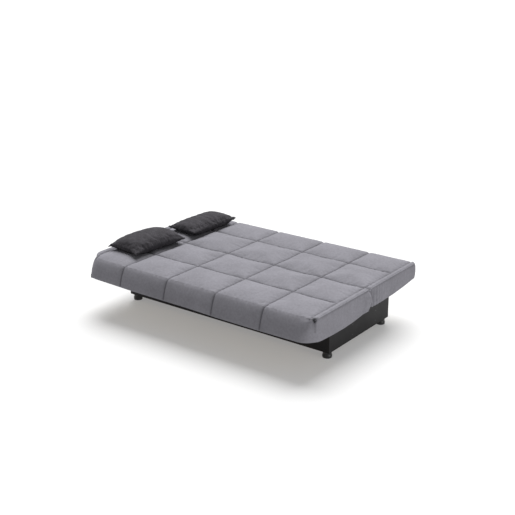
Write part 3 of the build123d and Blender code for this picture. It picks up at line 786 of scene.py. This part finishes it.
def sew(name, lines):
    """Stitches along polylines, as one plain mesh."""
    mesh = bpy.data.meshes.new(name)
    points = []
    edges = []
    for line in lines:
        first = len(points)
        points += [tuple(p) for p in line]
        edges += [(first + i, first + i + 1) for i in range(len(line) - 1)]
    mesh.from_pydata(points, edges, [])
    obj = bpy.data.objects.new(name, mesh)
    bpy.context.scene.collection.objects.link(obj)
    modifier = obj.modifiers.new("Stitches", "NODES")
    modifier.node_group = stitches
    for item in stitches.interface.items_tree:
        if item.name in STITCH:
            modifier[item.identifier] = STITCH[item.name]
    bake(obj)
    obj.data.name = name
    return obj


def seam_lines(half):
    """Seam polylines of a half, lifted a hair above the bottom of their channels."""
    lift = 0.0006
    lines = []
    for seam in half["seams"]:
        lines.append(half["points"][seam] + (0, 0, lift))
    for drop in half["drops"]:
        lines.append(half["points"][drop] + (0, -lift if half["outer"] < 0 else lift, 0))
    return lines


threads = {name: sew(name + "_stitches", seam_lines(half)) for name, half in halves.items()}
for obj in threads.values():
    print(obj.name, len(obj.data.polygons), "faces")

# %% [markdown]
# ## Piping
# Both ends have a thin corded welt where the top panel meets the plain end band. It is a tube of the same
# cloth that follows the finished seam, so its points are read back from the puffed quilt.

# %% Piping
PIPING_R = 0.0034
PIPING_SIDES = 8


def piping(name):
    """Two welts, one along each end of a half's top panel."""
    points, faces = [], []
    n = PIPING_SIDES
    for line, end in zip(halves[name]["ends"], (-1, 1)):
        path = piping_paths[name][line] + (end * 0.0015, 0, 0.0012)
        for spot in path:
            for turn in np.linspace(0, 2 * math.pi, n + 1)[:-1]:
                points.append(spot + PIPING_R * np.array([math.cos(turn), 0, math.sin(turn)]))
        last = len(points) - n
        first = len(points) - n * len(path)
        for row in range(first, last, n):
            for i in range(n):
                j = (i + 1) % n
                faces.append((row + i, row + j, row + n + j, row + n + i))
        faces.append(tuple(first + i for i in range(n)))
        faces.append(tuple(last + i for i in range(n)))
    obj = make_object(name + "_piping", points, faces, microfibre)
    tidy_normals(obj)
    return obj


welts = {name: piping(name) for name in halves}
print("piping", {name: len(obj.data.polygons) for name, obj in welts.items()})

# %% [markdown]
# ## Foam cores
# Each half's foam lies on the slats. In the real bed it is squeezed as the bed folds, so it runs up to
# the fold.

# %% Foam
FOAM_BELOW_TOP = 0.030
FOAM_EDGE = 0.012
FOAM_FOOT = 0.006
FOAM_SQUEEZE = 0.010


def foam_block(name, outer_y, low_z, side):
    """A closed foam slab with rounded edges, divided finely along Y near the fold."""
    half_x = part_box(name + "_foam")[1][0] - 0.002
    top_z = TOP_Z - FOAM_BELOW_TOP
    ys = np.concatenate([np.linspace(outer_y, FOLD_Y - side * BLEND, 9)[:-1],
                         np.linspace(FOLD_Y - side * BLEND, FOLD_Y - side * 0.004, 25)])
    ring = [(-half_x, low_z + FOAM_FOOT), (-half_x, top_z - FOAM_EDGE), (-half_x + FOAM_EDGE, top_z),
            (half_x - FOAM_EDGE, top_z), (half_x, top_z - FOAM_EDGE), (half_x, low_z + FOAM_FOOT),
            (half_x - FOAM_FOOT, low_z), (-half_x + FOAM_FOOT, low_z)]
    points = []
    for index, y in enumerate(ys):
        squeeze = FOAM_SQUEEZE if index in (0, len(ys) - 1) else 0.0
        for x, z in ring:
            inward = squeeze if z < (low_z + top_z) / 2 else -squeeze
            points.append((x - math.copysign(squeeze, x), y, z + inward))
    n = len(ring)
    faces = [tuple(range(n))[::-1], tuple((len(ys) - 1) * n + i for i in range(n))]
    for row in range(len(ys) - 1):
        for i in range(n):
            j = (i + 1) % n
            faces.append((row * n + i, row * n + j, (row + 1) * n + j, (row + 1) * n + i))
    obj = make_object(name + "_foam_core", points, faces, materials["foam"], smooth=False)
    tidy_normals(obj)
    return obj


foam_low = {name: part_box(name + "_foam")[0][2] for name in ("seat", "back")}
foams = {"seat": foam_block("seat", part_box("seat_foam")[0][1] + 0.045, foam_low["seat"], 1),
         "back": foam_block("back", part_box("back_foam")[1][1] - 0.012, foam_low["back"], -1)}
print("foam", {name: len(obj.data.polygons) for name, obj in foams.items()})

# %% [markdown]
# ## Loose cushions
# A scatter cushion is two flat panels sewn together and stuffed. Here it is two grids that share their edge.
# A formula gives the crown, the sides that pull in between the corners and the underside that lies flat. The
# cloth solver then crumples it by up to 10 mm, and two waves pucker the seam.

# %% Cushions
CUSHION_GRID = (76, 52)
CUSHIONS = {"front": {"node": "front_cushion", "size": (0.300, 0.486), "tall": 0.100, "turn": -4.5,
                      "tip": 0.026, "seed": 3},
            "rear": {"node": "rear_cushion", "size": (0.262, 0.490), "tall": 0.084, "turn": -1.5,
                     "tip": 0.042, "seed": 5}}
CUSHION_CLOTH = {"frames": 22, "pressure": 1.0, "grow": 0.10, "bending": 0.02}
CUSHION_CAP = 0.010
PUCKER = 0.0030
PUCKER_REACH = 0.022


def cushion_points(size, tall, tip):
    """Two panels that share their edge: a crowned top, and an underside that lies flat in its middle."""
    nu, nv = CUSHION_GRID
    points, index = [], {}
    seam = 0.42 * tall
    for sheet in (1, -1):
        for i, u in enumerate(np.linspace(-1, 1, nu + 1)):
            for j, v in enumerate(np.linspace(-1, 1, nv + 1)):
                if sheet < 0 and (i in (0, nu) or j in (0, nv)):
                    index[sheet, i, j] = index[1, i, j]
                    continue
                index[sheet, i, j] = len(points)
                x = size[0] / 2 * v * (1 - 0.085 * (1 - u * u))
                y = size[1] / 2 * u * (1 - 0.055 * (1 - v * v))
                full = max(0.0, (1 - abs(u) ** 2.8) * (1 - abs(v) ** 2.2)) ** 0.6
                z = seam + (tip - seam) * (u * v) ** 2
                z += (tall - seam) * full if sheet > 0 else -z * min(1.0, 1.5 * full)
                points.append((x, y, z))
    return np.array(points), index


def cushion_faces(index):
    """Faces of both panels, which share the points of their edge."""
    nu, nv = CUSHION_GRID
    faces = []
    for sheet in (1, -1):
        for i in range(nu):
            for j in range(nv):
                face = (index[sheet, i, j], index[sheet, i, j + 1], index[sheet, i + 1, j + 1],
                        index[sheet, i + 1, j])
                faces.append(face[::-1] if sheet > 0 else face)
    return faces


def make_cushion(name, size, tall, tip, node, turn, seed):
    """One cushion in its place: size and tall in metres, turn in degrees, tip the height of its corners."""
    base, index = cushion_points(size, tall, tip)
    obj = make_object(name + "_scatter_cushion", base, cushion_faces(index), cushion_cloth)
    tidy_normals(obj)
    shift = np.zeros_like(base)
    start = base + np.random.default_rng(seed).normal(0, 0.0012, base.shape)
    obj.data.vertices.foreach_set("co", start.ravel())
    nu, nv = CUSHION_GRID
    edge = [number for (sheet, i, j), number in index.items() if i in (0, nu) or j in (0, nv)]
    shift = capped(run_cloth(obj, pinned=edge, **CUSHION_CLOTH) - base, CUSHION_CAP)
    u, v = base[:, 1] / (size[1] / 2), base[:, 0] / (size[0] / 2)
    rim = np.exp(-np.minimum((1 - np.abs(u)) * size[1], (1 - np.abs(v)) * size[0]) / 2 / PUCKER_REACH)
    pucker = np.sin(base[:, 1] * 2 * math.pi / 0.031 + seed) + np.sin(base[:, 0] * 2 * math.pi / 0.027)
    shape = base + shift
    shape[:, 2] += PUCKER * rim * pucker
    shape[:, 2] = np.maximum(shape[:, 2], 0.0)
    low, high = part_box(node)
    c, s = math.cos(math.radians(turn)), math.sin(math.radians(turn))
    x = (low[0] + high[0]) / 2 + shape[:, 0] * c - shape[:, 1] * s
    y = (low[1] + high[1]) / 2 + shape[:, 0] * s + shape[:, 1] * c
    obj.data.vertices.foreach_set("co", np.column_stack([x, y, low[2] + 0.001 + shape[:, 2]]).ravel())
    obj.data.update()
    smooth = obj.modifiers.new("Smooth", "SUBSURF")
    smooth.levels = 1
    smooth.render_levels = 1
    bake(obj)
    obj.data.name = obj.name
    return obj


cushions = {name: make_cushion(name, **facts) for name, facts in CUSHIONS.items()}
for obj in cushions.values():
    print(obj.name, [round(v, 3) for v in obj.dimensions])

# %% [markdown]
# ## Turned feet
# The feet are moulded in one piece: a wide pad on the floor with a rounded edge, a slight waist and a
# flange under the chest. A profile spun round its axis gives that shape.

# %% Feet
FOOT_FACETS = 64


def make_foot(node):
    """The profile spun into a closed foot that stands for the CAD one."""
    low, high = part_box(node)
    cx, cy = (low[0] + high[0]) / 2, (low[1] + high[1]) / 2
    radius, tall = (high[0] - low[0]) / 2, high[2] - low[2]
    profile = [(0.0, 0.0), (0.86, 0.0), (0.94, 0.03), (0.985, 0.10), (1.0, 0.20), (1.0, 0.36), (0.985, 0.42),
               (0.93, 0.45), (0.91, 0.50), (0.91, 0.80), (0.93, 0.84), (0.985, 0.87), (1.0, 0.90), (1.0, 0.985),
               (0.98, 1.0), (0.0, 1.0)]
    turns = FOOT_FACETS
    points = [(cx, cy, 0.0)]
    rings = profile[1:-1]
    for r, z in rings:
        for a in range(turns):
            angle = 2 * math.pi * a / turns
            points.append((cx + radius * r * math.cos(angle), cy + radius * r * math.sin(angle),
                           low[2] + tall * z))
    points.append((cx, cy, high[2]))
    faces = []
    for a in range(turns):
        b = (a + 1) % turns
        faces.append((0, 1 + b, 1 + a))
        for k in range(len(rings) - 1):
            ring = 1 + k * turns
            faces.append((ring + a, ring + b, ring + turns + b, ring + turns + a))
        last = 1 + (len(rings) - 1) * turns
        faces.append((last + a, last + b, len(points) - 1))
    obj = make_object(node + "_turned", points, faces, materials["foot_plastic"])
    tidy_normals(obj)
    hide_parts(node)
    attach(obj, "base")
    return obj


feet = [make_foot(f"{row}_{side}_foot") for row in ("front", "rear") for side in ("left", "right")]
print(len(feet), "feet")

# %% [markdown]
# ## Who moves with what
# Cover, foam, stitches and welts are baked where they stand, and the CAD covers and foam that they
# replace are hidden. Cushions ride on their own bodies.

# %% Ride and replace
replaced = {"seat": ("seat_cover", "mattress_fold"), "back": ("back_cover",)}
for name, side in (("seat", 1), ("back", -1)):
    end = (0, FOLD_Y, AXIS_Z)
    for piece in (quilts[name], foams[name], threads[name], welts[name]):
        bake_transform(piece)
    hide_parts(*replaced[name])
    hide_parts(name + "_foam")
for name, obj in cushions.items():
    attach(obj, "cushion_" + name)
    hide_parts(name + "_cushion")

# %% [markdown]
# ## Floor
# A wide pale floor, as in a product studio. It also gives off a little light of its own, which keeps the
# shadow under the bed pale, as the white walls of a studio do.

# %% Floor
FLOOR_SIZE = 160
bpy.ops.mesh.primitive_plane_add(size=FLOOR_SIZE, location=(0, 0, 0))
floor = bpy.context.object
floor.name = "studio_floor"
floor_material, _, floor_shader, _ = new_material("matt_white_paper")
floor_shader.inputs["Base Color"].default_value = colour("b2b2b2")
floor_shader.inputs["Emission Color"].default_value = colour("ffffff")
floor_shader.inputs["Emission Strength"].default_value = 0.26
floor_shader.inputs["Roughness"].default_value = 0.9
floor_shader.inputs["Specular IOR Level"].default_value = 0.1
floor.data.materials.append(floor_material)
print("floor ready")

# %% [markdown]
# ## Light
# The key is a sun with a very wide angle, high at the rear left, so that its shadows are soft and its
# light is even over the whole floor. A weak area light low on the right lifts the end of the bed, and a
# white surround fills the rest.

# %% Light


def area_light(name, place, aim, size, power):
    """A rectangle of light at a place, facing the point aim."""
    data = bpy.data.lights.new(name, "AREA")
    data.shape = "RECTANGLE"
    data.size, data.size_y = size
    data.energy = power
    obj = bpy.data.objects.new(name, data)
    obj.location = place
    obj.rotation_euler = (Vector(aim) - Vector(place)).to_track_quat("-Z", "Y").to_euler()
    bpy.context.scene.collection.objects.link(obj)
    return obj


def soft_sun(name, aim, power, spread):
    """A very large softbox far away, shining along the direction aim; spread is its width in degrees."""
    data = bpy.data.lights.new(name, "SUN")
    data.energy = power
    data.angle = math.radians(spread)
    obj = bpy.data.objects.new(name, data)
    obj.rotation_euler = Vector(aim).to_track_quat("-Z", "Y").to_euler()
    bpy.context.scene.collection.objects.link(obj)
    return obj


soft_sun("overhead_softbox", aim=(0.30, -0.54, -1.0), power=5.7, spread=54)
area_light("right_fill", place=(4.6, -0.3, 0.45), aim=(0.9, 0.0, 0.3), size=(2.4, 0.6), power=62)
world = bpy.data.worlds.new("studio_surround")
world.use_nodes = True
world.node_tree.nodes["Background"].inputs["Color"].default_value = colour("ffffff")
world.node_tree.nodes["Background"].inputs["Strength"].default_value = 0.42
bpy.context.scene.world = world
bpy.context.scene.view_settings.view_transform = "Standard"
print("lights ready")

# %% [markdown]
# ## Camera
# The camera stands at the front right, 2.7 m up and almost 7 m away, with a long lens that keeps the bed's
# lines nearly parallel.

# %% Camera
CAMERA_AT = (3.825, -5.004, 2.660)
CAMERA_YAW = math.radians(36.84)
CAMERA_DOWN = math.radians(19.56)
lens = bpy.data.cameras.new("camera")
lens.lens = 67.97
lens.sensor_width = 36.0
camera = bpy.data.objects.new("camera", lens)
camera.location = CAMERA_AT
camera.rotation_euler = (math.pi / 2 - CAMERA_DOWN, 0, CAMERA_YAW)
bpy.context.scene.collection.objects.link(camera)
bpy.context.scene.camera = camera
print("camera", round(camera.location.length, 2), "m from the bed's middle")
